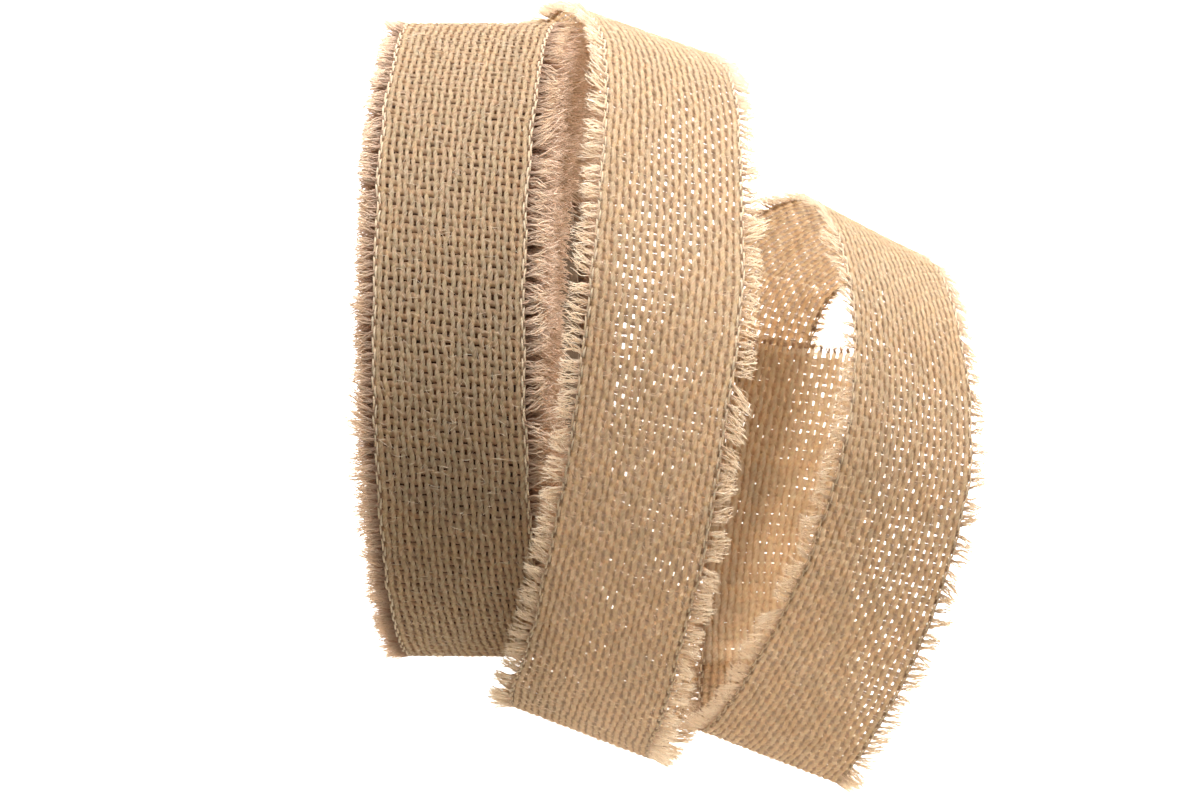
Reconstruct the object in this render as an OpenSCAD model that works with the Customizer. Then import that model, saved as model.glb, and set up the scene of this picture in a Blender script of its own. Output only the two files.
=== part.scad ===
// A roll of loosely woven jute ribbon with frayed edges, wound on a cardboard tube.
// The last turns have come off the roll and stand beside it in two open loops.
//
// Frame: the roll's axis is the X axis and its middle is the origin. +Z is up, and the
// roll and the loops stand on a table 80 mm below the axis. The loops lie towards +X.
// Every loose stretch of ribbon is a band swept along one route: a spiral turn around
// the roll, then a smooth curve through hand-placed points.

/* [Ribbon] */
// Width of the woven band, with the locking stitch along each side
woven_w = 36.5; // [34:0.5:37]
// Length of the frayed weft ends on each side
fringe_w = 6; // [4:0.5:6.5]
// Thickness of one layer of cloth
cloth_t = 1.3; // [1.1:0.1:1.35]
// Thickness of the frayed ends
fringe_t = 0.9; // [0.6:0.1:1.0]
// Width of the locking stitch between the cloth and the fringe
stitch_w = 0.8; // [0.6:0.1:1.2]
// Length of the warp ends at the cut end
fray_len = 2.5; // [1:0.5:4]

/* [Roll] */
// Radius of the wound turns that are still on the tube
pack_r = 77; // [70:0.5:77]
// Radius of the first loose turn at its middle thickness, where it leaves the pack
turn_start_r = 78.05; // [78.05:0.05:78.1]
// How far each turn lies outside the one under it
turn_rise = 1.5; // [1.4:0.05:1.6]

/* [Core tube] */
// Length of the tube, which ends behind the fringe
core_w = 39; // [37:0.5:48]
// Radius of the hole through the tube
core_bore_r = 38.1; // [37:0.1:38.5]
// Thickness of each of the three paper plies
ply_t = 1.0; // [0.6:0.1:1.0]
// Thickness of the tape that holds the first turn to the tube
tape_t = 0.2; // [0.1:0.05:0.2]
// Arc of the tube that the tape covers, in degrees
tape_arc = 60; // [30:5:90]

/* [Hidden] */

total_w = woven_w + 2 * fringe_w;
cloth_half = woven_w / 2 - stitch_w;
core_r = core_bore_r + 3 * ply_t;
round_gap = 0.1;
wound_start_r = core_r + tape_t + round_gap;
round_fn = 180;

// The loose turn starts under its own end, so no cut edge shows on the roll.
turn_from = -110;
turn_to = 270;
turn_step = 5;
turn_rings = (turn_to - turn_from) / turn_step;
route_rings = 5;

function turn_r(angle) = turn_start_r + turn_rise * (angle - turn_from) / 360;
function turn_point(angle) = turn_r(angle) * [0, cos(angle), sin(angle)];

// Route of the ribbon's middle once it has left the roll: x, y, z, then the direction
// across the ribbon as a yaw and a pitch in degrees.
ROUTE = [
    // off the roll, out from under it
    [0, 0, -turn_r(turn_to), 0, 0],
    [2, 16, -79.4, 2, 0],
    [7, 36, -76, 5, -3],
    [16, 58, -63, 10, -10],
    [28, 74, -36, 16, -20],
    // first loop, over the top and down to the table
    [41, 76, 2, 20, -28],
    [52, 61, 50, 20, -28],
    [54, 12, 83, 16, -10],
    [46, -40, 76, 14, 0],
    [34, -79, 44, 17, 0],
    [24, -97, 2, 20, 0],
    [24, -96, -40, 22, -2],
    [30, -80, -69, 24, 0],
    [37, -57, -78.8, 25, 0],
    [45, -32, -79.1, 26, 0],
    // second loop, leaning towards +X
    [53, -8, -77, 28, -6],
    [65, 16, -64, 32, -40],
    [92, 28, -27, 29, -44],
    [106, 10, 12, 27, -40],
    [109, -24, 27, 25, -36],
    [101, -55, 21, 23, -32],
    [85, -86, -4, 22, -26],
    [69, -105, -36, 22, -14],
    [66, -99, -60, 20, -6],
    // tail, flat on the table and on the stretch under it
    [66, -82, -73.5, 17, -2],
    [67, -58, -77.2, 14, 0],
    [71, -31, -76, 12, -3],
    [77, -3, -73, 12, -6]
];
FIRST_LOOP_END = 14;
SECOND_LOOP_END = 24;
ROUTE_END = len(ROUTE) - 1;

function route_point(i) =
    i < 0 ? 2 * ROUTE[0] - ROUTE[1]
    : i > ROUTE_END ? 2 * ROUTE[ROUTE_END] - ROUTE[ROUTE_END - 1]
    : ROUTE[i];

// Catmull-Rom spline through the route, and its derivative
function route_span(u) = min(floor(u), ROUTE_END - 1);
function route_at(u) =
    let (i = route_span(u), t = u - i)
    let (a = route_point(i - 1), b = route_point(i), c = route_point(i + 1), d = route_point(i + 2))
    0.5 * (2 * b + (c - a) * t + (2 * a - 5 * b + 4 * c - d) * pow(t, 2)
        + (3 * b - a - 3 * c + d) * pow(t, 3));
function route_slope(u) =
    let (i = route_span(u), t = u - i)
    let (a = route_point(i - 1), b = route_point(i), c = route_point(i + 1), d = route_point(i + 2))
    0.5 * ((c - a) + 2 * (2 * a - 5 * b + 4 * c - d) * t + 3 * (3 * b - a - 3 * c + d) * pow(t, 2));

function unit(v) = v / norm(v);
function xyz(p) = [p[0], p[1], p[2]];

// A station holds a point of the ribbon's middle, the direction across the ribbon and
// the outward normal of its surface.
function turn_station(angle) = [turn_point(angle), [1, 0, 0], [0, cos(angle), sin(angle)]];
function route_station(u) =
    let (p = route_at(u), along = unit(xyz(route_slope(u))))
    let (lean = [cos(p[3]) * cos(p[4]), -sin(p[3]) * cos(p[4]), sin(p[4])])
    let (across = unit(lean - (lean * along) * along))
    [xyz(p), across, cross(along, across)];

turn_stations = [for (i = [0:turn_rings]) turn_station(turn_from + i * turn_step)];
function route_stations(from, to) =
    [for (i = [0:(to - from) * route_rings]) from + i / route_rings == 0
        ? turn_station(turn_to)
        : route_station(from + i / route_rings)];

first_loop_stations = route_stations(0, FIRST_LOOP_END);
second_loop_stations = route_stations(FIRST_LOOP_END, SECOND_LOOP_END);
tail_stations = route_stations(SECOND_LOOP_END, ROUTE_END);
loose_stations = concat(
    turn_stations,
    [for (i = [1:len(first_loop_stations) - 1]) first_loop_stations[i]],
    [for (i = [1:len(second_loop_stations) - 1]) second_loop_stations[i]],
    [for (i = [1:len(tail_stations) - 1]) tail_stations[i]]
);

// A band between two distances from the ribbon's middle, swept through the stations.
// Both of its edges are split from the upper corner to the lower one, so that bands side
// by side meet without overlapping.
module band(stations, w_from, w_to, t) {
    corners = [[w_from, t / 2], [w_to, t / 2], [w_to, -t / 2], [w_from, -t / 2]];
    last = len(stations) - 1;
    points = [for (s = stations) for (c = corners) s[0] + c[0] * s[1] + c[1] * s[2]];
    sides = [for (i = [0:last - 1]) for (k = [0:3])
        let (a = 4 * i + k, b = 4 * i + (k + 1) % 4)
        each k == 3
            ? [[a, b, a + 4], [b, b + 4, a + 4]]
            : [[a, b, b + 4], [a, b + 4, a + 4]]];
    caps = [[3, 2, 1], [3, 1, 0], [4 * last, 4 * last + 1, 4 * last + 2],
        [4 * last, 4 * last + 2, 4 * last + 3]];
    polyhedron(points, concat(sides, caps), convexity = 8);
}

module tube(r_in, r_out, x_from, x_to) {
    translate([x_from, 0, 0])
        rotate([0, 90, 0])
            difference() {
                cylinder(r = r_out, h = x_to - x_from, $fn = round_fn);
                translate([0, 0, -1])
                    cylinder(r = r_in, h = x_to - x_from + 2, $fn = round_fn);
            }
}

module core_ply(index) {
    r_in = core_bore_r + index * ply_t;
    tube(r_in, r_in + ply_t, -core_w / 2, core_w / 2);
}

module cloth_band(stations) {
    color("burlywood")
        band(stations, -cloth_half, cloth_half, cloth_t);
}

module fringe_band(stations, side) {
    near = side * woven_w / 2;
    far = side * (woven_w / 2 + fringe_w);
    color("tan")
        band(stations, min(near, far), max(near, far), fringe_t);
}

module stitch_band(side) {
    near = side * cloth_half;
    far = side * woven_w / 2;
    color("peru")
        band(loose_stations, min(near, far), max(near, far), cloth_t);
}

// Still on the roll
module core_inner_ply() {
    color("tan") core_ply(0);
}

module core_middle_ply() {
    color("burlywood") core_ply(1);
}

module core_outer_ply() {
    color("tan") core_ply(2);
}

module start_tape() {
    color("wheat")
        rotate([0, 90, 0])
            rotate_extrude(angle = tape_arc, $fn = round_fn)
                translate([core_r, -woven_w / 2])
                    square([tape_t, woven_w]);
}

module wound_cloth() {
    color("burlywood")
        tube(wound_start_r, pack_r, -woven_w / 2, woven_w / 2);
}

module wound_fringe(side) {
    near = side * woven_w / 2;
    far = side * total_w / 2;
    color("rosybrown")
        tube(wound_start_r, pack_r, min(near, far), max(near, far));
}

module wound_fringe_left() {
    wound_fringe(-1);
}

module wound_fringe_right() {
    wound_fringe(1);
}

// Off the roll
module outer_turn_cloth() {
    cloth_band(turn_stations);
}

module outer_turn_fringe_left() {
    fringe_band(turn_stations, -1);
}

module outer_turn_fringe_right() {
    fringe_band(turn_stations, 1);
}

module first_loop_cloth() {
    cloth_band(first_loop_stations);
}

module first_loop_fringe_left() {
    fringe_band(first_loop_stations, -1);
}

module first_loop_fringe_right() {
    fringe_band(first_loop_stations, 1);
}

module second_loop_cloth() {
    cloth_band(second_loop_stations);
}

module second_loop_fringe_left() {
    fringe_band(second_loop_stations, -1);
}

module second_loop_fringe_right() {
    fringe_band(second_loop_stations, 1);
}

module tail_cloth() {
    cloth_band(tail_stations);
}

module tail_fringe_left() {
    fringe_band(tail_stations, -1);
}

module tail_fringe_right() {
    fringe_band(tail_stations, 1);
}

module edge_stitch_left() {
    stitch_band(-1);
}

module edge_stitch_right() {
    stitch_band(1);
}

module cut_end_fray() {
    end = route_station(ROUTE_END);
    along = unit(xyz(route_slope(ROUTE_END)));
    color("tan")
        band([end, [end[0] + fray_len * along, end[1], end[2]]], -cloth_half, cloth_half, fringe_t);
}

core_inner_ply();
core_middle_ply();
core_outer_ply();
start_tape();
wound_cloth();
wound_fringe_left();
wound_fringe_right();
outer_turn_cloth();
outer_turn_fringe_left();
outer_turn_fringe_right();
first_loop_cloth();
first_loop_fringe_left();
first_loop_fringe_right();
second_loop_cloth();
second_loop_fringe_left();
second_loop_fringe_right();
tail_cloth();
tail_fringe_left();
tail_fringe_right();
edge_stitch_left();
edge_stitch_right();
cut_end_fray();
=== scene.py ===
"""A roll of jute ribbon with frayed edges, its last turns standing beside it in two loops."""
import math

import bpy
import numpy as np
from mathutils import Matrix, Vector


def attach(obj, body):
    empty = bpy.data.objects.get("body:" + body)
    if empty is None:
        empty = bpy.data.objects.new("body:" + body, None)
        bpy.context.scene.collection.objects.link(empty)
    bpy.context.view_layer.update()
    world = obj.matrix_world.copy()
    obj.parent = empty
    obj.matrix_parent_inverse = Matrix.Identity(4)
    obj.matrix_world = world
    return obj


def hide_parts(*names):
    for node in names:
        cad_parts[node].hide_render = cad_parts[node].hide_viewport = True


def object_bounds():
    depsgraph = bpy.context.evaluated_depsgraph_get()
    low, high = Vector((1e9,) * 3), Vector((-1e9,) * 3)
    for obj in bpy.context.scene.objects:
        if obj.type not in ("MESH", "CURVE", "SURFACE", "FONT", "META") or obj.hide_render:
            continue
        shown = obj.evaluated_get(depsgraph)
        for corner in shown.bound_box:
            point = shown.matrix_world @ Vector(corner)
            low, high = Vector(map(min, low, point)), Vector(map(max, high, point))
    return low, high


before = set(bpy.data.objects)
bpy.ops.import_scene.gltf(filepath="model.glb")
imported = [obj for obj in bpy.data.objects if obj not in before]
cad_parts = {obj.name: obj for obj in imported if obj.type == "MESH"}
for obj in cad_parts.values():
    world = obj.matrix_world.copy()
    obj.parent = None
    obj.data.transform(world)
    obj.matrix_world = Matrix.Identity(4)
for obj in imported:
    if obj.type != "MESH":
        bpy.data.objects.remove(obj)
cad_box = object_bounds()

MM = 0.001
FLOOR_GAP = 0.02  # mm between the lowest CAD point and the floor
FLOOR_Z = cad_box[0].z / MM - FLOOR_GAP

# ---------------------------------------------------------------- camera
LEAN = math.atan(0.105)  # the camera looks down on the roll from a little to its +X side
TARGET = Vector((0.029, -0.0155, 0.0))
DISTANCE = 3.5
LENS, SENSOR = 420, 36  # mm
toward = Vector((-math.sin(LEAN), 0, -math.cos(LEAN)))
right = Vector((math.cos(LEAN), 0, -math.sin(LEAN)))
camera = bpy.data.objects.new("camera", bpy.data.cameras.new("camera"))
camera.data.sensor_width = SENSOR
camera.data.lens = LENS
camera.data.clip_end = 20
camera.matrix_world = Matrix.Translation(TARGET - toward * DISTANCE) @ Matrix(
    (right, Vector((0, 1, 0)), -toward)
).transposed().to_4x4()
bpy.context.collection.objects.link(camera)
bpy.context.scene.camera = camera

# ---------------------------------------------------------------- ribbon sizes, in mm
WOVEN_W = 36.5
CORE_R, PACK_R = 41.1, 77.0  # outside of the tube and of the wound turns
TURN_START_R, TURN_RISE = 78.05, 1.5  # the outer turn's middle, and how far one turn rises
TURN_FROM, TURN_TO = -110, 270  # degrees about +X, from +Y


def turn_r(angle):
    """Radius of the outer turn's middle at an angle in degrees."""
    return TURN_START_R + TURN_RISE * (angle - TURN_FROM) / 360


# The route of part.scad: x, y, z, yaw and pitch of the direction across the ribbon
ROUTE = np.array(
    [
        (0, 0, -turn_r(TURN_TO), 0, 0),
        (2, 16, -79.4, 2, 0),
        (7, 36, -76, 5, -3),
        (16, 58, -63, 10, -10),
        (28, 74, -36, 16, -20),
        (41, 76, 2, 20, -28),
        (52, 61, 50, 20, -28),
        (54, 12, 83, 16, -10),
        (46, -40, 76, 14, 0),
        (34, -79, 44, 17, 0),
        (24, -97, 2, 20, 0),
        (24, -96, -40, 22, -2),
        (30, -80, -69, 24, 0),
        (37, -57, -78.8, 25, 0),
        (45, -32, -79.1, 26, 0),
        (53, -8, -77, 28, -6),
        (65, 16, -64, 32, -40),
        (92, 28, -27, 29, -44),
        (106, 10, 12, 27, -40),
        (109, -24, 27, 25, -36),
        (101, -55, 21, 23, -32),
        (85, -86, -4, 22, -26),
        (69, -105, -36, 22, -14),
        (66, -99, -60, 20, -6),
        (66, -82, -73.5, 17, -2),
        (67, -58, -77.2, 14, 0),
        (71, -31, -76, 12, -3),
        (77, -3, -73, 12, -6),
    ],
    float,
)
FIRST_LOOP_END, SECOND_LOOP_END = 14, 24  # rows of ROUTE


def unit(v):
    return v / np.linalg.norm(v, axis=-1, keepdims=True)


# ---------------------------------------------------------------- the ribbon's surface
class Ribbon:
    """Points of the ribbon from s along it, w across it and h above its middle, in mm."""

    STEP = 0.5  # mm between the stored points
    TURN_STEP = 0.5  # degrees
    PER_KNOT = 60  # points on the route from one row of ROUTE to the next
    PLACE_BLUR, LEAN_BLUR = 3.0, 4.0  # mm

    def __init__(self):
        a = np.radians(np.arange(TURN_FROM, TURN_TO, self.TURN_STEP))
        ring = np.stack([0 * a, np.cos(a), np.sin(a)], 1)
        radius = turn_r(np.degrees(a))[:, None]
        turn_at = ring * radius
        turn_across = np.tile([1.0, 0, 0], (len(a), 1))

        ends = np.vstack([2 * ROUTE[0] - ROUTE[1], ROUTE, 2 * ROUTE[-1] - ROUTE[-2]])
        u = np.arange((len(ROUTE) - 1) * self.PER_KNOT + 1) / self.PER_KNOT
        i = np.minimum(u.astype(int), len(ROUTE) - 2)
        t = (u - i)[:, None]
        p, q, r, v = ends[i], ends[i + 1], ends[i + 2], ends[i + 3]
        at = 0.5 * (
            2 * q + (r - p) * t + (2 * p - 5 * q + 4 * r - v) * t**2 + (3 * q - p - 3 * r + v) * t**3
        )
        slope = 0.5 * (
            (r - p) + 2 * (2 * p - 5 * q + 4 * r - v) * t + 3 * (3 * q - p - 3 * r + v) * t**2
        )
        along = unit(slope[:, :3])
        yaw, pitch = np.radians(at[:, 3]), np.radians(at[:, 4])
        lean = np.stack(
            [np.cos(yaw) * np.cos(pitch), -np.sin(yaw) * np.cos(pitch), np.sin(pitch)], 1
        )
        across = unit(lean - (lean * along).sum(1, keepdims=True) * along)

        place = np.vstack([turn_at, at[:, :3]])
        across = np.vstack([turn_across, across])
        s = np.concatenate([[0], np.cumsum(np.linalg.norm(np.diff(place, axis=0), axis=1))])
        self.turn_end = float(s[len(a)])
        route_s = s[len(a):]
        self.knots = route_s[::self.PER_KNOT]
        loop_ends = [self.knot_s(k) for k in (FIRST_LOOP_END, SECOND_LOOP_END)]
        self.ends = [self.turn_end] + loop_ends
        self.length = float(s[-1])

        self.s = np.arange(0, self.length, self.STEP)
        place = np.stack([np.interp(self.s, s, place[:, k]) for k in range(3)], 1)
        across = unit(np.stack([np.interp(self.s, s, across[:, k]) for k in range(3)], 1))
        self.place = self.smooth(place, self.PLACE_BLUR)
        across = unit(self.smooth(across, self.LEAN_BLUR))
        self.along = unit(np.gradient(self.place, axis=0))
        self.across = unit(across - (across * self.along).sum(1, keepdims=True) * self.along)
        self.normal = np.cross(self.along, self.across)

    def knot_s(self, k):
        """Distance along the ribbon of row k of ROUTE."""
        return float(self.knots[k])

    def smooth(self, values, width):
        """A running mean with bell-shaped weights. The ends are continued straight."""
        reach = int(3 * width / self.STEP)
        k = np.arange(-reach, reach + 1) * self.STEP
        weight = np.exp(-0.5 * (k / width) ** 2)
        weight /= weight.sum()
        n = np.arange(1, reach + 1)[:, None]
        before = values[0] - (values[1] - values[0]) * n[::-1]
        after = values[-1] + (values[-1] - values[-2]) * n
        padded = np.vstack([before, values, after])
        return np.stack([np.convolve(padded[:, c], weight, "valid") for c in range(3)], 1)

    def frame_at(self, s):
        """Place, across, normal and along at each s. Past its ends the ribbon goes on straight."""
        s = np.asarray(s, float)
        held = np.clip(s, self.s[0], self.s[-1])
        x = (held - self.s[0]) / self.STEP
        i = np.minimum(x.astype(int), len(self.s) - 2)
        t = (x - i)[..., None]
        stored = self.place, self.across, self.normal, self.along
        place, across, normal, along = (a[i] * (1 - t) + a[i + 1] * t for a in stored)
        along = unit(along)
        return place + (s - held)[..., None] * along, unit(across), unit(normal), along

    def point(self, s, w, h):
        place, across, normal, _ = self.frame_at(s)
        return place + np.asarray(w)[..., None] * across + np.asarray(h)[..., None] * normal


ribbon = Ribbon()


# ---------------------------------------------------------------- meshes
CORNERS = ((0, 0), (0, 1), (1, 1), (1, 0))  # of a quad: steps along and round a tube


def make_mesh(name, verts, faces, corners, seeds, material):
    """A mesh of quads or n-gons. faces is a list of (n, k) index arrays, corners the matching
    (n, k, 4) arrays of the two UV maps: the bake's map and the yarn's own length and turn."""
    mesh = bpy.data.meshes.new(name)
    mesh.vertices.add(len(verts))
    mesh.vertices.foreach_set("co", (verts * MM).astype(np.float32).ravel())
    sizes = np.concatenate([np.full(len(f), f.shape[1]) for f in faces])
    index = np.concatenate([f.ravel() for f in faces])
    mesh.loops.add(len(index))
    mesh.loops.foreach_set("vertex_index", index.astype(np.int32))
    mesh.polygons.add(len(sizes))
    starts = np.concatenate([[0], np.cumsum(sizes)[:-1]])
    mesh.polygons.foreach_set("loop_start", starts.astype(np.int32))
    mesh.update(calc_edges=True)
    mesh.polygons.foreach_set("use_smooth", np.ones(len(sizes), bool))
    uv = np.concatenate([c.reshape(-1, 4) for c in corners]).astype(np.float32)
    for layer, cols in (("OFBake", (0, 1)), ("Yarn", (2, 3))):
        mesh.uv_layers.new(name=layer)
        mesh.uv_layers[layer].data.foreach_set("uv", uv[:, cols].ravel())
    seed = mesh.attributes.new("seed", "FLOAT", "POINT")
    seed.data.foreach_set("value", seeds.astype(np.float32))
    mesh.materials.append(material)
    mesh.validate()
    obj = bpy.data.objects.new(name, mesh)
    bpy.context.collection.objects.link(obj)
    return obj


def tubes(centre, side, up, half_w, half_t, sections, lengths, columns=1, chops=1):
    """Tubes of one ring count: centre (M, R, 3), the ellipse's directions side and up, and its
    half sizes (M, R). lengths (M, R) is the distance along each yarn. Gives what make_mesh needs
    but the seeds: verts, faces, corners, and the yarn number of each vertex."""
    m, r = centre.shape[:2]
    k = sections
    angle = 2 * math.pi * (np.arange(k) + 0.5) / k
    ring = (
        centre[:, :, None]
        + side[:, :, None] * (half_w[:, :, None] * np.cos(angle))[..., None]
        + up[:, :, None] * (half_t[:, :, None] * np.sin(angle))[..., None]
    )
    verts = ring.reshape(-1, 3)
    number = np.arange(m * r * k).reshape(m, r, k)
    turned = np.roll(number, -1, axis=2)
    quads = np.stack([number[:, :-1], turned[:, :-1], turned[:, 1:], number[:, 1:]], -1)

    # the bake's map: every yarn, or each chop of it, has a cell of its own
    per_chop = math.ceil((r - 1) / chops)
    rows = math.ceil(m * chops / columns)
    yarn, span, turn = np.meshgrid(np.arange(m), np.arange(r - 1), np.arange(k), indexing="ij")
    cell = yarn * chops + span // per_chop
    column, row = cell % columns, cell // columns
    corners = np.empty((m, r - 1, k, 4, 4))
    for c, (ds, dk) in enumerate(CORNERS):
        corners[..., c, 0] = (column + 0.01 + 0.98 * (span % per_chop + ds) / per_chop) / columns
        corners[..., c, 1] = (row + 0.06 + 0.88 * (turn + dk) / k) / rows
        corners[..., c, 2] = lengths[yarn, span + ds]
        corners[..., c, 3] = (turn + dk) / k
    faces = [quads.reshape(-1, 4), number[:, 0, ::-1], number[:, -1]]
    all_corners = [corners.reshape(-1, 4, 4)]
    for end in (0, -1):
        cap = np.empty((m, k, 4))
        cap[..., :2] = corners[:, end, 0, 0, :2][:, None]
        cap[..., 2] = lengths[:, end][:, None]
        cap[..., 3] = 0.5
        all_corners.append(cap)
    return verts, faces, all_corners, np.repeat(np.arange(m), r * k)


def join(parts):
    """Several results of tubes as one, with their yarn numbers kept apart."""
    verts, faces, corners, yarns = [], [], [], []
    base = yarn_base = 0
    for v, f, c, y in parts:
        verts.append(v)
        faces += [x + base for x in f]
        corners += c
        yarns.append(y + yarn_base)
        base += len(v)
        yarn_base += y.max() + 1
    return np.vstack(verts), faces, corners, np.concatenate(yarns)


# ---------------------------------------------------------------- the weave
WARPS = 20
WARP_PITCH = 1.8
ROW_PITCH = 2.45  # from one weft yarn to the next
ROWS = int(ribbon.length // ROW_PITCH)
WARP_EDGE = WARP_PITCH * (WARPS - 1) / 2  # middle of the outermost warp yarn
SKEW = 0.08  # the weft rows run slightly down to the right
WARP_RISE, WEFT_RISE = 0.12, 0.1  # how far each yarn rises over and dips under
WARP_SWING, WEFT_SWING = 0.11, 0.3  # sideways zigzag, which opens every other hole
WARP_HALF, WEFT_HALF = (0.67, 0.46), (1.0, 0.24)  # half width and half thickness
WEAVE_END = WARP_EDGE + WARP_HALF[0]
WEFT_FROM = 40  # a weft's own length is measured from this far left of the middle
SLUB = 0.09  # how much thicker and thinner a yarn gets
YARN_SIDES = 6
OPENED_OVER = 60  # mm over which the weave closes after it leaves the roll
PACKED_FROM = 22  # the row of ROUTE where the weave starts to be pushed together
PACKED_OVER = 25  # mm over which it is pushed together, and opens again
OPEN_END = 14  # mm at the cut end where it is as open as in the loops


# ---------------------------------------------------------------- materials
def node(tree, kind, **values):
    """A new node. in_NAME sets the input called NAME or numbered so, other names a property."""
    n = tree.nodes.new(kind)
    for key, value in values.items():
        if key.startswith("in_"):
            socket = key[3:]
            n.inputs[int(socket) if socket.isdigit() else socket].default_value = value
        else:
            setattr(n, key, value)
    return n


def ramp(tree, source, stops):
    n = tree.nodes.new("ShaderNodeValToRGB")
    tree.links.new(source, n.inputs["Fac"])
    e = n.color_ramp.elements
    while len(e) < len(stops):
        e.new(0.5)
    for el, (pos, colour) in zip(e, stops):
        el.position = pos
        el.color = (*colour, 1)
    return n.outputs["Color"]


def math_node(tree, op, a, b=0):
    n = tree.nodes.new("ShaderNodeMath")
    n.operation = op
    for k, x in enumerate((a, b)):
        if isinstance(x, (int, float)):
            n.inputs[k].default_value = x
        else:
            tree.links.new(x, n.inputs[k])
    return n.outputs[0]


def mix(tree, kind, fac, a, b):
    """Colours a and b mixed. Each value is a number, a colour or a socket."""
    n = tree.nodes.new("ShaderNodeMix")
    n.data_type = "RGBA"
    n.blend_type = kind
    for sock, x in ((n.inputs[0], fac), (n.inputs[6], a), (n.inputs[7], b)):
        if hasattr(x, "is_linked"):
            tree.links.new(x, sock)
        elif isinstance(x, tuple):
            sock.default_value = (*x, 1)
        else:
            sock.default_value = x
    return n.outputs[2]


def yarn_place(tree):
    """Where a point is on its yarn, from its second UV map: length along it and turn round it."""
    uv = node(tree, "ShaderNodeUVMap", uv_map="Yarn")
    split = tree.nodes.new("ShaderNodeSeparateXYZ")
    tree.links.new(uv.outputs[0], split.inputs[0])
    return split.outputs[0], split.outputs[1]


def bump_by(tree, shader, height, strength, distance):
    n = node(tree, "ShaderNodeBump", in_Strength=strength, in_Distance=distance)
    tree.links.new(height, n.inputs["Height"])
    tree.links.new(n.outputs[0], shader.inputs["Normal"])


def yarn_material(
    name, dark, mid, light, through, clear=0.3, bump=0.0, lay=5.0, painted_flank_shade=None, painted_groove_shade=None, root=None
):
    """Spun jute: streaky fibres that spiral round the yarn once in lay mm, each yarn of its own
    tone. The share through of the light passes through it, and clear is how little that light is
    coloured. The flank tone is painted shade along a yarn's two sides, and the groove tone
    painted shade where it dips between the yarns it crosses. The root tone is painted shade on
    the first stretch of a fibre, given with the length over which it fades out."""
    mat = bpy.data.materials.new(name)
    mat.use_nodes = True
    tree = mat.node_tree
    tree.nodes.clear()
    out = tree.nodes.new("ShaderNodeOutputMaterial")
    shader = tree.nodes.new("ShaderNodeBsdfPrincipled")
    length, turn = yarn_place(tree)
    seed = node(tree, "ShaderNodeAttribute", attribute_name="seed")
    twist = math_node(tree, "ADD", turn, math_node(tree, "MULTIPLY", length, 1 / lay))

    def noise(x_scale, turn_scale, seed_scale, detail, rough=0.6):
        place = tree.nodes.new("ShaderNodeCombineXYZ")
        tree.links.new(math_node(tree, "MULTIPLY", length, x_scale), place.inputs[0])
        tree.links.new(math_node(tree, "MULTIPLY", twist, turn_scale), place.inputs[1])
        own = math_node(tree, "MULTIPLY", seed.outputs["Fac"], seed_scale)
        tree.links.new(own, place.inputs[2])
        n = node(tree, "ShaderNodeTexNoise", in_Scale=1.0, in_Detail=detail, in_Roughness=rough)
        tree.links.new(place.outputs[0], n.inputs["Vector"])
        return n.outputs["Fac"]

    fibres = noise(0.8, 9.0, 71.0, 3.0)
    tone = noise(0.05, 0.0, 13.0, 2.0)
    fleck = noise(0.9, 2.2, 37.0, 2.0, 0.7)
    base = ramp(tree, fibres, [(0.3, dark), (0.5, mid), (0.7, light)])
    tint = ramp(
        tree, tone, [(0.3, (0.88, 0.89, 0.91)), (0.5, (1, 1, 1)), (0.72, (1.07, 1.04, 0.98))]
    )
    base = mix(tree, "MULTIPLY", 1.0, base, tint)
    greener, redder = (0.86, 1.0, 0.84), (1.12, 0.9, 0.88)
    hue = ramp(tree, fleck, [(0.32, greener), (0.5, (1, 1, 1)), (0.66, redder)])
    base = mix(tree, "MULTIPLY", 0.35, base, hue)
    # painted shade: darker along the yarn's two sides
    if painted_flank_shade:
        around = math_node(tree, "MULTIPLY", turn, 2 * math.pi)
        around = math_node(tree, "ADD", around, math.pi / YARN_SIDES)
        beside = math_node(tree, "ABSOLUTE", math_node(tree, "COSINE", around))
        base = mix(tree, "MULTIPLY", math_node(tree, "POWER", beside, 5.0), base, painted_flank_shade)
    # painted shade: darker where the yarn dips between the warps it crosses
    if painted_groove_shade:
        crossed = math_node(tree, "ADD", length, WARP_EDGE - WEFT_FROM)
        crossed = math_node(tree, "MULTIPLY", crossed, math.pi / WARP_PITCH)
        between = math_node(tree, "ABSOLUTE", math_node(tree, "SINE", crossed))
        base = mix(tree, "MULTIPLY", math_node(tree, "POWER", between, 4.0), base, painted_groove_shade)
    # painted shade: darker at a fibre's root, fading out along it
    if root:
        painted_root_shade, fade = root
        left = math_node(tree, "SUBTRACT", 1.0, math_node(tree, "MULTIPLY", length, 1 / fade))
        base = mix(tree, "MULTIPLY", math_node(tree, "MAXIMUM", left, 0.0), base, painted_root_shade)
    tree.links.new(base, shader.inputs["Base Color"])
    shader.inputs["Roughness"].default_value = 0.72
    shader.inputs["Specular IOR Level"].default_value = 0.25
    shader.inputs["Sheen Weight"].default_value = 0.05
    shader.inputs["Sheen Roughness"].default_value = 0.5
    bump_by(tree, shader, fibres, bump, 0.0002)
    behind = tree.nodes.new("ShaderNodeBsdfTranslucent")
    tree.links.new(mix(tree, "MIX", clear, base, (1.0, 0.96, 0.89)), behind.inputs["Color"])
    both = node(tree, "ShaderNodeMixShader", in_0=through)
    tree.links.new(shader.outputs[0], both.inputs[1])
    tree.links.new(behind.outputs[0], both.inputs[2])
    tree.links.new(both.outputs[0], out.inputs["Surface"])
    return mat


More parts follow.
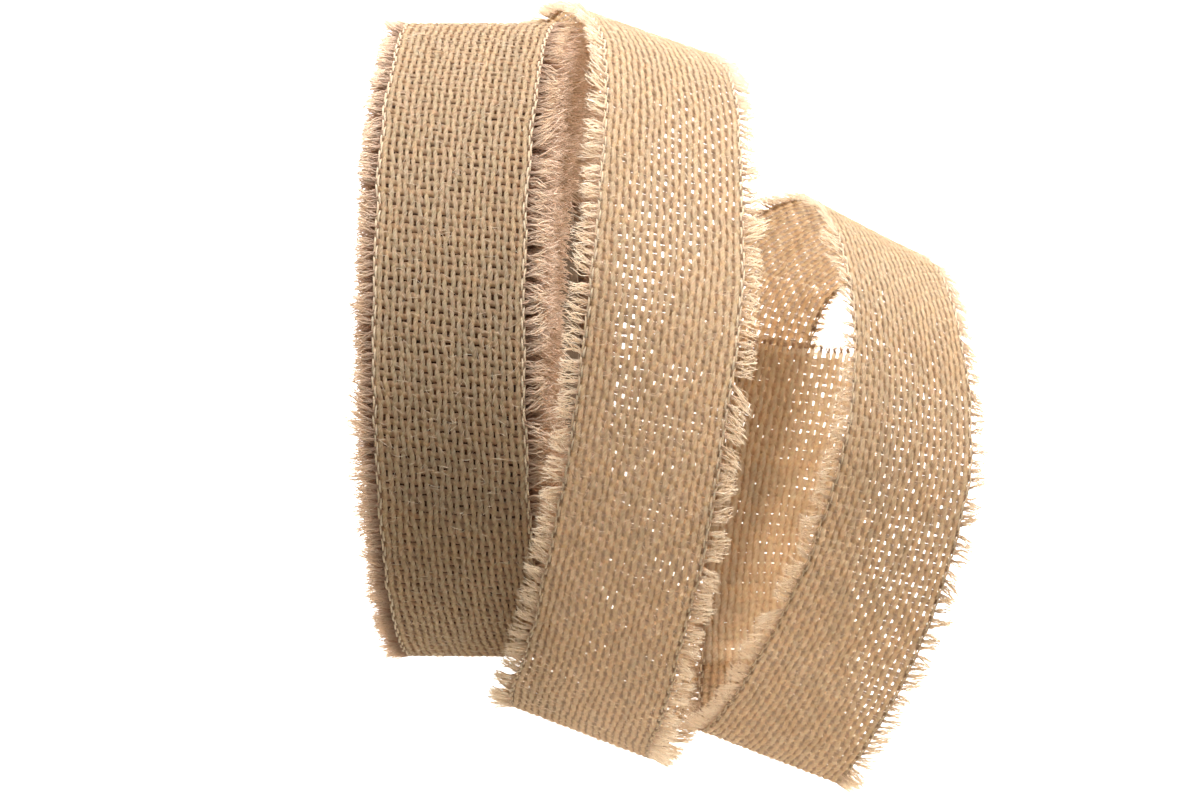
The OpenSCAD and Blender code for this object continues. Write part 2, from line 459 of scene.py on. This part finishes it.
WARP_TONES = (0.50, 0.355, 0.19), (0.78, 0.61, 0.38), (0.96, 0.83, 0.60)
WEFT_TONES = (0.44, 0.305, 0.16), (0.74, 0.565, 0.34), (0.90, 0.75, 0.53)
# lighter tones for the tail: painted light against the shade of the last loop
TAIL_PAINTED_LIGHT_TONES = (0.62, 0.475, 0.285), (0.85, 0.69, 0.45), (0.98, 0.87, 0.64)
WARP = yarn_material(
    "warp_yarn", *WARP_TONES, through=0.82, clear=0.48, bump=0.35, painted_flank_shade=(0.6, 0.46, 0.35)
)
WEFT = yarn_material(
    "weft_yarn", *WEFT_TONES, through=0.78, clear=0.43, bump=0.35,
    painted_flank_shade=(0.58, 0.45, 0.35), painted_groove_shade=(0.46, 0.33, 0.23),
)
# copies for the roll, with painted shade of their own: held open round the roll, the grooves between
# the yarns catch more light, so the painted groove shade is lighter here and the painted flank shade
# darker
ROLL_WARP = yarn_material(
    "warp_yarn_on_roll", *WARP_TONES, through=0.82, clear=0.3, bump=0.35, painted_flank_shade=(0.58, 0.44, 0.33)
)
ROLL_WEFT = yarn_material(
    "weft_yarn_on_roll", *WEFT_TONES, through=0.78, clear=0.28, bump=0.35,
    painted_flank_shade=(0.5, 0.37, 0.28), painted_groove_shade=(0.66, 0.52, 0.42),
)
# the tail lies in the shade of the last loop and shows more of its own colour; its lighter tones are
# painted light that makes up for that shade
TAIL_WARP_PAINTED_LIGHT = yarn_material(
    "warp_yarn_of_tail_painted_light", *TAIL_PAINTED_LIGHT_TONES, through=0.65, clear=0.7, bump=0.35, painted_flank_shade=(0.72, 0.57, 0.44)
)
TAIL_WEFT_PAINTED_LIGHT = yarn_material(
    "weft_yarn_of_tail_painted_light", *TAIL_PAINTED_LIGHT_TONES, through=0.65, clear=0.66, bump=0.35,
    painted_flank_shade=(0.68, 0.53, 0.42), painted_groove_shade=(0.64, 0.49, 0.37),
)
# the root tone is painted shade, darker where the fibres leave the cloth
FRINGE = yarn_material(
    "frayed_fibre", (0.76, 0.57, 0.38), (0.91, 0.76, 0.56), (0.98, 0.90, 0.74),
    through=0.8, clear=0.46, root=((0.78, 0.63, 0.52), 2.2),
)
# darker and less translucent than the loose fringe, with a dark root: painted shade for the crevice
# by the roll
ROLL_FRINGE = yarn_material(
    "matted_fibre_painted_shade", (0.62, 0.42, 0.26), (0.86, 0.66, 0.45), (0.99, 0.87, 0.67),
    through=0.5, root=((0.42, 0.27, 0.2), 4.0),
)
# darker and letting little light through, with a dark root: painted shade for the fibres deep in the
# roll's faces
WOUND_FRINGE_PAINTED_SHADE = yarn_material(
    "wound_fibre_painted_shade", (0.44, 0.27, 0.17), (0.75, 0.52, 0.345), (0.98, 0.79, 0.58),
    through=0.12, root=((0.33, 0.21, 0.16), 5.5),
)
THREAD = yarn_material(
    "locking_thread", (0.54, 0.39, 0.22), (0.76, 0.59, 0.38), (0.89, 0.75, 0.54),
    through=0.5, bump=0.2, lay=1.5,
)

# ---------------------------------------------------------------- yarns on the ribbon
rng = np.random.default_rng(7)
WAVES = [
    (rng.uniform(0.12, 1.1), rng.uniform(-1.0, 1.0), rng.uniform(0, 6.28), rng.uniform(0, 6.28))
    for _ in range(10)
]


def wander(s, w):
    """How far the handled weave is pushed out of true at a point, along and across."""
    ds = dw = 0
    for ks, kw, a, b in WAVES:
        size = 0.055 / (0.35 + ks)
        ds = ds + size * np.sin(ks * s + kw * w + a)
        dw = dw + size * np.sin(0.7 * ks * s - kw * w + b)
    return ds, dw


def slub(s, yarn):
    """Thick and thin places along a yarn, as a factor of its size."""
    phase = 12.9898 * (yarn + 1.0)
    wave = np.sin(s / 2.7 + phase) + np.sin(s / 6.1 + 1.7 * phase)
    wave = wave + 0.7 * np.sin(s / 1.31 + 2.9 * phase)
    own = np.sin(78.233 * (yarn + 1.0)) * 0.5
    return 1 + SLUB * (wave / 2.2 + own) * 0.8


def eased(t):
    """From 0 to 1 as t goes from 0 to 1, with a smooth start and stop."""
    t = np.clip(t, 0, 1)
    return t * t * (3 - 2 * t)


def opened(s):
    """How far the turn round the roll holds the weave open: 1 on the roll, 0 on the loops."""
    return 1 - eased((s - ribbon.turn_end) / OPENED_OVER)


def packed(s):
    """How far the weave is pushed together, from 0 to 1: where the last loop comes down and
    along the tail."""
    start, stop = ribbon.knot_s(PACKED_FROM), ribbon.length - OPEN_END
    return eased((s - start) / PACKED_OVER) * eased((stop - s) / PACKED_OVER)


def weave_point(s, w, h):
    """The point of the cloth that lies at s, w and h in a weave that runs true."""
    ds, dw = wander(s, w)
    return ribbon.point(s + ds + SKEW * w, w + dw, h)


def directions(points):
    """Unit tangent of polylines (M, R, 3)."""
    return unit(np.gradient(points, axis=1))


def cloth_tubes(s, w, h, half_w, half_t, sections, lengths, **layout):
    """Tubes along paths on the cloth, with their flat side in the cloth's surface."""
    centre = weave_point(s, w, h)
    tangent = directions(centre)
    _, _, normal, _ = ribbon.frame_at(s)
    side = unit(np.cross(tangent, normal))
    up = np.cross(side, tangent)
    return tubes(centre, side, up, half_w, half_t, sections, lengths, **layout)


def warp_part(first_row, last_row):
    """The warp yarns of a stretch, which cross over and under the weft rows."""
    per_row = 4
    row = np.arange((last_row - first_row) * per_row + 1) / per_row + first_row
    j = np.arange(WARPS)[:, None]
    row = np.tile(row, (WARPS, 1))
    s = row * ROW_PITCH
    sign = np.where(j % 2 == 0, 1, -1)
    tight = np.where((j == 0) | (j == WARPS - 1), 0.5, 1.0)
    swing = WARP_SWING * tight * (1 + 0.65 * opened(s))
    w = -WARP_EDGE + j * WARP_PITCH + swing * sign * np.sin(np.pi * row)
    h = WARP_RISE * sign * np.cos(np.pi * row)
    fat = slub(s, j) * (1 - 0.06 * opened(s) + 0.24 * packed(s))
    half_w, half_t = WARP_HALF[0] * fat, WARP_HALF[1] * (0.5 + 0.5 * fat)
    return cloth_tubes(s, w, h, half_w, half_t, YARN_SIDES, s, chops=4)


def weft_part(first_row, last_row):
    """The weft yarns of a stretch, one a row."""
    per_warp = 3
    over = np.array([0.8, 0.72, 0.65])  # the yarn goes on into the fringe and thins out there
    last = WARPS - 1
    crossing = np.linspace(-0.6, last + 0.6, WARPS * per_warp + 1)
    j = np.concatenate([-over, crossing, last + over[::-1]])
    i = np.arange(first_row, last_row)[:, None]
    sign = np.where(i % 2 == 0, 1, -1)
    w = np.tile(-WARP_EDGE + j * WARP_PITCH, (len(i), 1))
    s = i * ROW_PITCH + 0 * j
    tight = packed(s)
    s = s - WEFT_SWING * (1 - 0.8 * tight) * sign * np.sin(np.pi * j)
    past = np.clip(1.8 * (np.maximum(-j, j - last) - 0.6), 0, 1.1)
    h = -WEFT_RISE * sign * np.cos(np.pi * j) * (1 - past / 1.1)
    fat = slub(w, i * 1.37) * (1 - 0.5 * past) * (1 - 0.09 * opened(s) + 0.3 * tight)
    half_w, half_t = WEFT_HALF[0] * fat, WEFT_HALF[1] * (0.5 + 0.5 * fat)
    return cloth_tubes(s, w, h, half_w, half_t, YARN_SIDES, w + WEFT_FROM, columns=4)


# ---------------------------------------------------------------- fringe
FRINGE_LENGTH = 6.3
WORN_SHORT_AT = ribbon.knot_s(16)  # the right fringe is worn short where the second loop turns up
FIBRE_TIP = 0.3  # a fibre's thickness at its end, as a share
FIBRE_SIDES = 3


def fibre_bundle(root, out, along, normal, n, length, thick, seed, rings=9, spread=1.0,
                 clump=0.0, lift=0.0, bend=0.0, flat=0.3, floor=True):
    """n wavy fibres from each root (M, 3), which leave towards out and fray apart. spread is how
    far apart, and flat half the width of the yarn they leave. clump, lift and bend lean or curve
    a whole bundle, along the ribbon or off it. length, clump, lift and bend are numbers or
    (M, 1, 1). With floor, none goes below the floor."""
    r = np.random.default_rng(seed)
    m = len(root)
    t = np.linspace(0, 1, rings)[None, None]

    def draw(lo, hi):
        return r.uniform(lo, hi, (m, n, 1))

    size = length * draw(0.84, 1.08) * (1 - 0.3 * (r.random((m, n, 1)) < 0.12))
    lean = clump + draw(-0.26, 0.26) * spread
    rise = lift + draw(-0.16, 0.16) * spread + r.uniform(-0.12, 0.12, (m, 1, 1))
    wave, phase, turns = draw(0.1, 0.38), draw(0, 6.28), draw(0.9, 2.1)
    wave_up, phase_up = draw(0.05, 0.3), draw(0, 6.28)
    start_a, start_n = draw(-flat, flat), draw(-0.2, 0.2)
    curl = draw(-0.5, 0.5) * spread + bend
    x = size * (t - 0.08 * t**2)
    sideways = np.sin(6.28 * turns * t + phase) - np.sin(phase)
    y = start_a * (1 - 0.3 * t) + size * (lean * t + curl * 0.35 * t**2)
    y = y + wave * sideways * np.minimum(1, 2 * t)
    upwards = np.sin(6.28 * turns * t + phase_up) - np.sin(phase_up)
    z = start_n + size * rise * t + wave_up * upwards * t
    centre = (
        root[:, None, None]
        + x[..., None] * out[:, None, None]
        + y[..., None] * along[:, None, None]
        + z[..., None] * normal[:, None, None]
    ).reshape(m * n, rings, 3)
    if floor:
        centre[..., 2] = np.maximum(centre[..., 2], FLOOR_Z + 0.2)
    tangent = directions(centre)
    up = np.repeat(normal, n, axis=0)[:, None]
    side = unit(np.cross(tangent, up))
    up = np.cross(side, tangent)
    taper = (1 - (1 - FIBRE_TIP) * t**4) * np.ones((m, n, 1))
    half = (thick * draw(0.7, 1.25) * taper).reshape(m * n, rings)
    lengths = (x * np.ones((m, n, 1))).reshape(m * n, rings)
    return tubes(centre, side, up, half, half, FIBRE_SIDES, lengths, columns=20)


def pulled_out(point):
    """Where the fringe on the roll's left side has been pulled out longer, from 0 to 1."""
    return np.exp(-(((point[:, 1] + 28) / 22) ** 2)) * (point[:, 2] > 0)


def edge_fringe(first_row, last_row, side, seed):
    """Frayed weft ends. Neighbours cling together in lobes of one to four, with gaps between."""
    i = np.arange(first_row, last_row)
    w = np.full(len(i), side * (WEAVE_END + 0.15))
    s = i * ROW_PITCH
    ds, dw = wander(s, w)
    s = s + ds + SKEW * w
    place, across, normal, along = ribbon.frame_at(s)
    root = place + (w + dw)[:, None] * across
    r = np.random.default_rng(seed)
    sizes = [0.05, 0.25, 0.4, 0.3] if side > 0 else [0.15, 0.45, 0.3, 0.1]
    lobe = np.repeat(np.arange(len(i)), r.choice([1, 2, 3, 4], len(i), p=sizes))[:len(i)]
    middle = np.array([s[lobe == k].mean() for k in lobe])
    reach = np.array([(lobe == k).sum() for k in lobe]) * ROW_PITCH / 2
    own = r.normal(0, 1, (4, len(i)))[:, lobe]
    sway = 0.32 * (middle - s) / FRINGE_LENGTH + 0.17 * own[0] + 0.12 * np.sin(s / 9.7 + side)
    pulled = 0.36 * (side < 0) * (s < ribbon.turn_end) * pulled_out(root)
    worn = 0.6 * (side > 0) * np.exp(-(((s - WORN_SHORT_AT) / 22) ** 2))
    rounded = 1.07 - 0.25 * ((s - middle) / reach) ** 2 + 0.05 * own[3]
    length = FRINGE_LENGTH * (1 - worn + pulled) * rounded
    clump, bend, lift, length = (
        v[:, None, None] for v in (sway, 0.35 * own[1], 0.12 * own[2], length)
    )
    # the weft's own stub, its fibres, and the finest of them
    bundles = (
        (1, 2.8, 0.27, 0.4, 0.3),
        (7, length, 0.16, 0.85, 0.5),
        (5, length, 0.08, 1.3, 0.7),
    )
    return join([
        fibre_bundle(root, side * across, along, normal, n, reach_out, thick, seed + k,
                     spread=spread, flat=flat, clump=clump, bend=bend, lift=lift)
        for k, (n, reach_out, thick, spread, flat) in enumerate(bundles, 1)
    ])


# ---------------------------------------------------------------- the loose ribbon
SIDES = ((-1, "left"), (1, "right"))
GOLDEN = 0.61803398875  # spreads the yarns' own tones evenly


def finish_part(name, made, material, body, replaces=()):
    """The object for what tubes made, with the body it rides on and the nodes it stands for."""
    verts, faces, corners, yarn = made
    obj = make_mesh(name, verts, faces, corners, (yarn * GOLDEN) % 1.0, material)
    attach(obj, body)
    if replaces:
        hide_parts(*replaces)
    return obj


def loose(name, made, material, slot, *replaces):
    return finish_part(name, made, material, "loose_ribbon", replaces)


row_ends = [0] + [int(round(s / ROW_PITCH)) for s in ribbon.ends] + [ROWS]
STRETCHES = list(
    zip(("outer_turn", "first_loop", "second_loop", "tail"), row_ends[:-1], row_ends[1:])
)
LOOKS = {
    "outer_turn": (ROLL_WARP, ROLL_WEFT, ROLL_FRINGE),
    "tail": (TAIL_WARP_PAINTED_LIGHT, TAIL_WEFT_PAINTED_LIGHT, FRINGE),
}
made_pieces = {}
for number, (name, a, b) in enumerate(STRETCHES):
    warp_look, weft_look, fringe_look = LOOKS.get(name, (WARP, WEFT, FRINGE))
    made_pieces[name] = [
        loose(name + "_warp", warp_part(a, b), warp_look, "jute_cloth", name + "_cloth"),
        loose(name + "_weft", weft_part(a, b), weft_look, "jute_cloth", name + "_cloth"),
    ]
    for side, word in SIDES:
        made = edge_fringe(a, b, side, 100 * number + 10 * (side > 0))
        made_pieces[name].append(
            loose(f"{name}_frayed_{word}", made, fringe_look, "jute_fringe", f"{name}_fringe_{word}")
        )

# stray fibres that stand out of the yarns on both faces
HAIRS_PER_ROW = 16
HAIR_HALF = 0.07  # half its thickness


def hairs(first_row, last_row, seed):
    """Short arched fibres on the cloth's two faces, along the yarns of either kind."""
    r = np.random.default_rng(seed)
    m = (last_row - first_row) * HAIRS_PER_ROW
    s = r.uniform(first_row, last_row, (m, 1)) * ROW_PITCH
    w = r.uniform(-WARP_EDGE, WARP_EDGE, (m, 1))
    face = r.choice([-1.0, 1.0], (m, 1))
    heading = r.normal(0, 0.5, (m, 1)) + math.pi / 2 * r.integers(0, 2, (m, 1))
    length = r.uniform(1.8, 4.2, (m, 1))
    bow = r.normal(0, 0.35, (m, 1))
    height = r.uniform(0.25, 0.75, (m, 1))
    t = np.linspace(-0.5, 0.5, 5)[None]
    arch = 1 - 4 * t**2
    ahead, beside = length * t, bow * arch
    s = s + ahead * np.cos(heading) - beside * np.sin(heading)
    w = w + ahead * np.sin(heading) + beside * np.cos(heading)
    h = face * (0.1 + height * arch)
    half = HAIR_HALF * (1 - 0.5 * np.abs(2 * t)) * np.ones((m, 1))
    return cloth_tubes(s, w, h, half, half, FIBRE_SIDES, ahead + length, columns=20)


for number, (name, a, b) in enumerate(STRETCHES):
    made_pieces[name].append(
        loose(name + "_stray_fibres", hairs(a, b, 40 + number), FRINGE, "jute_fringe")
    )

# the locking threads, two along each edge, which cross between the weft rows
EDGE_THREADS = (18.1, 18.62)  # from the ribbon's middle
row = np.arange(ROWS * 4 + 1) / 4
for side, word in SIDES:
    s = np.tile(row * ROW_PITCH, (2, 1))
    w = side * (np.array(EDGE_THREADS)[:, None] + 0.06 * np.sin(np.pi * row + 1.2))
    h = 0.33 * np.array([[1], [-1]]) * np.cos(np.pi * row)
    made = cloth_tubes(s, w, h, np.full(s.shape, 0.26), np.full(s.shape, 0.22), 5, s, chops=12)
    made_pieces["outer_turn"].append(
        loose("locking_thread_" + word, made, THREAD, "stitch_thread", "edge_stitch_" + word)
    )

# the warp ends at the cut end
s = np.full(WARPS, ROWS * ROW_PITCH)
w = -WARP_EDGE + np.arange(WARPS) * WARP_PITCH
_, across, normal, along = ribbon.frame_at(s)
root = weave_point(s, w, 0 * w)
made = join([
    fibre_bundle(root, along, across, normal, 5, 1.7, 0.16, 901, spread=0.9),
    fibre_bundle(root, along, across, normal, 7, 2.4, 0.075, 902, spread=1.6),
])
made_pieces["tail"].append(loose("cut_end_frayed", made, FRINGE, "jute_fringe", "cut_end_fray"))

# ---------------------------------------------------------------- the wound turns
TURN_PITCH = 1.42
WOUND_FROM = CORE_R + 0.95  # radius of the first turn's middle
WOUND_TO = PACK_R - 0.72
TURNS = (WOUND_TO - WOUND_FROM) / TURN_PITCH
STEPS = 120  # points on a turn
BAND_CHOPS = 12  # rows of the bake's map
UNSHADED_EDGE = 1.6  # mm of each edge that shows between the turns, kept out of the painted shade


def wound_angle(turn):
    """The last turn ends where the loose turn begins."""
    return math.radians(TURN_FROM) + (turn - TURNS) * 2 * math.pi


def wound_point(turn, x, lift=0.0):
    """A point of the winding: turn counts from the tube outwards."""
    angle = wound_angle(turn)
    r = WOUND_FROM + TURN_PITCH * turn + lift
    return np.stack([x + 0 * r, r * np.cos(angle), r * np.sin(angle)], -1)


def wound_band():
    """The cloth of the wound turns, one band wound up: what make_mesh needs, and its length."""
    t = np.linspace(0, TURNS, int(TURNS * STEPS) + 1)
    thin, thick = 0.55, TURN_PITCH / 2 - 0.005  # the turns bear on each other in the middle
    width = WOVEN_W / np.array([-2, -6, 6, 2, 2, 6, -6, -2])
    lift = [thin, thick, thick, thin, -thin, -thick, -thick, -thin]
    ring = np.stack([wound_point(t, x, up) for x, up in zip(width, lift)], 1)
    n, k = ring.shape[:2]
    number = np.arange(n * k).reshape(n, k)
    turned = np.roll(number, -1, axis=1)
    quads = np.stack([number[:-1], turned[:-1], turned[1:], number[1:]], -1)
    steps = np.linalg.norm(np.diff(ring[:, 0], axis=0), axis=1)
    length = np.concatenate([[0], np.cumsum(steps)])
    span, turn = np.meshgrid(np.arange(n - 1), np.arange(k), indexing="ij")
    corners = np.empty((n - 1, k, 4, 4))
    per = math.ceil((n - 1) / BAND_CHOPS)
    for c, (ds, dk) in enumerate(CORNERS):
        corners[..., c, 0] = 0.02 + 0.96 * (span % per + ds) / per
        corners[..., c, 1] = (span // per + 0.05 + 0.9 * (turn + dk) / k) / BAND_CHOPS
        corners[..., c, 2] = length[span + ds]
        corners[..., c, 3] = width[(turn + dk) % k]
    faces = [quads.reshape(-1, 4), number[0][None, ::-1], number[-1][None]]
    caps = [np.zeros((1, k, 4)) + corners[end, 0, 0] for end in (0, -1)]
    return ring.reshape(-1, 3), faces, [corners.reshape(-1, 4, 4)] + caps, length[-1]


def painted_shade_wound_material():
    """The cloth inside the roll: the same weave, with painted shade: near black where the turns
    cover it, and paler at its edges, which show between the turns.
    """
    mat = bpy.data.materials.new("wound_weave_painted_shade")
    mat.use_nodes = True
    tree = mat.node_tree
    shader = tree.nodes["Principled BSDF"]
    along, across = yarn_place(tree)
    a = math_node(tree, "SINE", math_node(tree, "MULTIPLY", along, math.pi / ROW_PITCH))
    b = math_node(tree, "SINE", math_node(tree, "MULTIPLY", across, math.pi / WARP_PITCH))
    check = math_node(tree, "MULTIPLY", a, b)
    place = tree.nodes.new("ShaderNodeCombineXYZ")
    tree.links.new(along, place.inputs[0])
    tree.links.new(across, place.inputs[1])
    n = node(tree, "ShaderNodeTexNoise", in_Scale=0.9, in_Detail=3.0, in_Roughness=0.6)
    tree.links.new(place.outputs[0], n.inputs["Vector"])
    value = math_node(tree, "ADD", math_node(tree, "MULTIPLY", check, 0.25), n.outputs["Fac"])
    # painted shade: the covered cloth is near black, the edges that show are paler
    dark, pale = (
        ramp(tree, value, list(zip((0.3, 0.55, 0.85), tones)))
        for tones in (
            ((0.045, 0.025, 0.013), (0.11, 0.063, 0.033), (0.28, 0.175, 0.095)),
            ((0.20, 0.125, 0.075), (0.36, 0.24, 0.15), (0.58, 0.42, 0.28)),
        )
    )
    from_middle = math_node(tree, "ABSOLUTE", across)
    beyond = math_node(tree, "SUBTRACT", from_middle, WOVEN_W / 2 - UNSHADED_EDGE)
    edge = math_node(tree, "MINIMUM", math_node(tree, "MAXIMUM", beyond, 0.0), 1.0)
    tree.links.new(mix(tree, "MIX", edge, dark, pale), shader.inputs["Base Color"])
    shader.inputs["Roughness"].default_value = 0.85
    bump_by(tree, shader, value, 0.6, 0.0004)
    return mat


verts, faces, corners, wound_length = wound_band()
wound = make_mesh("wound_turns", verts, faces, corners, np.zeros(len(verts)), painted_shade_wound_material())
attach(wound, "wound_roll")
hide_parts("wound_cloth")

# The frayed ends of the wound turns. They mat together in tufts on both faces of the roll.
ZONES = (("inner", 0.0, 0.42), ("middle", 0.42, 0.76), ("outer", 0.76, 1.0))
TUFT_PITCH = 5.2
TUFT_PULL = 0.055  # how far a fibre leans for each mm that its tuft's middle is away
grid = np.arange(-PACK_R - TUFT_PITCH, PACK_R + 2 * TUFT_PITCH, TUFT_PITCH)
tufts = np.stack(np.meshgrid(grid, grid), -1).reshape(-1, 2)
tufts = tufts + rng.uniform(-0.5, 0.5, tufts.shape) * TUFT_PITCH
tufts = tufts[np.linalg.norm(tufts, axis=1) > CORE_R - 3]
tuft_length = rng.uniform(5.4, 7.6, len(tufts))


def wound_fringe(side, z, start, end):
    """Frayed ends on one face, from share start to share end of the turns. z is the zone."""
    mean = WOUND_FROM + TURN_PITCH * TURNS * np.linspace(start, end, 400)
    cloth_length = mean.mean() * 2 * math.pi * TURNS * (end - start)
    count = int(cloth_length / ROW_PITCH)
    r2 = np.linspace((WOUND_FROM + TURN_PITCH * TURNS * start) ** 2,
                     (WOUND_FROM + TURN_PITCH * TURNS * end) ** 2, count)
    turn = (np.sqrt(r2) - WOUND_FROM) / TURN_PITCH
    r = np.random.default_rng(500 + 10 * z + side)
    angle = wound_angle(turn)
    root = wound_point(turn, side * (WOVEN_W / 2 - 0.6), r.uniform(-0.3, 0.3, count))
    out = np.tile([side * 1.0, 0, 0], (count, 1))
    radial = np.stack([0 * angle, np.cos(angle), np.sin(angle)], 1)
    along = np.stack([0 * angle, -np.sin(angle), np.cos(angle)], 1)
    nearest = np.argmin(((root[:, None, 1:] - tufts) ** 2).sum(2), axis=1)
    towards = tufts[nearest] - root[:, 1:]
    sway = TUFT_PULL * (towards * along[:, 1:]).sum(1) + r.uniform(-0.25, 0.25, count)
    lift = TUFT_PULL * (towards * radial[:, 1:]).sum(1) + r.uniform(-0.2, 0.2, count)
    lift = lift - 0.5 * (turn < 2.5)  # folded in over the tube's end
    lift = np.minimum(lift, np.where(turn > TURNS - 4, 0.1, 1.0))  # clear of the loose ribbon
    length = tuft_length[nearest] + (1.6 if side > 0 else 0.3)
    clump, lift, length = (v[:, None, None] for v in (sway, lift, length))
    bundles = [(0.25, 700 + 10 * z + side, 1.5)]
    if end == 1.0:
        bundles.append((0.1, 800 + side, 1.7))  # the turns that show have finer fibres too
    return join([
        fibre_bundle(root, out, along, radial, 4, length, thick, seed, rings=6, spread=spread,
                     clump=clump, lift=lift, floor=False)
        for thick, seed, spread in bundles
    ])


for side, word in SIDES:
    for z, (zone, start, end) in enumerate(ZONES):
        finish_part(f"wound_frayed_{word}_{zone}", wound_fringe(side, z, start, end), WOUND_FRINGE_PAINTED_SHADE,
                    "wound_roll", ["wound_fringe_" + word])

# ---------------------------------------------------------------- tube and tape
def board_material(name, low, high, scale):
    """Board or paper from pulp: coarse and fine flecks between two tones."""
    mat = bpy.data.materials.new(name)
    mat.use_nodes = True
    tree = mat.node_tree
    shader = tree.nodes["Principled BSDF"]
    at = tree.nodes.new("ShaderNodeTexCoord")
    coarse = node(tree, "ShaderNodeTexNoise", in_Scale=scale, in_Detail=5.0, in_Roughness=0.65)
    tree.links.new(at.outputs["Object"], coarse.inputs["Vector"])
    fine = node(tree, "ShaderNodeTexNoise", in_Scale=scale * 9, in_Detail=2.0)
    tree.links.new(at.outputs["Object"], fine.inputs["Vector"])
    coarse_share = math_node(tree, "MULTIPLY", coarse.outputs["Fac"], 0.6)
    fine_share = math_node(tree, "MULTIPLY", fine.outputs["Fac"], 0.4)
    value = math_node(tree, "ADD", coarse_share, fine_share)
    tree.links.new(ramp(tree, value, [(0.36, low), (0.62, high)]), shader.inputs["Base Color"])
    rough = math_node(tree, "ADD", math_node(tree, "MULTIPLY", value, 0.25), 0.68)
    tree.links.new(rough, shader.inputs["Roughness"])
    bump_by(tree, shader, value, 0.35, 0.0003)
    return mat


# the plies get darker towards the inside of the tube; the inner ply's tones are painted shade, so
# that the tube's hole reads as a dark crevice
BOARDS = (
    ("core_inner_ply", "inner_board_painted_shade", (0.20, 0.14, 0.09), (0.32, 0.235, 0.16), 320),
    ("core_middle_ply", "middle_board", (0.27, 0.19, 0.12), (0.38, 0.28, 0.19), 320),
    ("core_outer_ply", "outer_board", (0.36, 0.26, 0.17), (0.50, 0.38, 0.26), 320),
    ("start_tape", "tape_paper", (0.62, 0.52, 0.36), (0.78, 0.69, 0.52), 500),
)
for name, *look in BOARDS:
    material = board_material(*look)
    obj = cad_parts[name]
    if not obj.material_slots:
        obj.data.materials.append(material)
    for slot in obj.material_slots:
        slot.link = "OBJECT"
        slot.material = material

# ---------------------------------------------------------------- floor and light
FLOOR_RADIUS = 14  # m, beyond every view
FLOOR_GLOW = 1.8  # the white table is bright enough to show through the open weave
bpy.ops.mesh.primitive_circle_add(
    vertices=96, radius=FLOOR_RADIUS, fill_type="NGON", location=(0, 0, FLOOR_Z * MM)
)
floor = bpy.context.object
floor.name = "floor"
floor_mat = bpy.data.materials.new("pale_floor")
floor_mat.use_nodes = True
p = floor_mat.node_tree.nodes["Principled BSDF"]
p.inputs["Base Color"].default_value = (0.9, 0.9, 0.9, 1)
p.inputs["Roughness"].default_value = 0.9
p.inputs["Specular IOR Level"].default_value = 0.0
p.inputs["Emission Color"].default_value = (1, 0.965, 0.9, 1)
p.inputs["Emission Strength"].default_value = FLOOR_GLOW
floor.data.materials.append(floor_mat)

# white at the horizon, so that the floor has no edge, and greyer above
world = bpy.data.worlds.new("studio")
bpy.context.scene.world = world
world.use_nodes = True
sky = world.node_tree
height = sky.nodes.new("ShaderNodeSeparateXYZ")
sky.links.new(sky.nodes.new("ShaderNodeTexCoord").outputs["Generated"], height.inputs[0])
shade = ramp(sky, height.outputs[2], [(0.02, (1, 1, 1)), (0.16, (0.3, 0.3, 0.3))])
sky.links.new(shade, sky.nodes["Background"].inputs["Color"])


def area(name, place, size, power, colour):
    """A rectangular lamp that looks at the middle of the roll. power is in watts."""
    light = bpy.data.lights.new(name, "AREA")
    light.shape = "RECTANGLE"
    light.size, light.size_y = size
    light.energy = power
    light.color = colour
    obj = bpy.data.objects.new(name, light)
    obj.location = place
    obj.rotation_euler = (-Vector(place)).to_track_quat("-Z", "Y").to_euler()
    bpy.context.collection.objects.link(obj)


area("key", (-0.05, 1.3, 0.65), (1.6, 1.1), 62, (1, 1.09, 1.27))
area("fill", (1.3, 0.1, 1.4), (1.4, 1.4), 13, (1, 1.08, 1.14))
area("low", (0.4, -1.2, 0.9), (1.4, 1.1), 3, (1, 1, 1))

bpy.context.scene.view_settings.view_transform = "Standard"
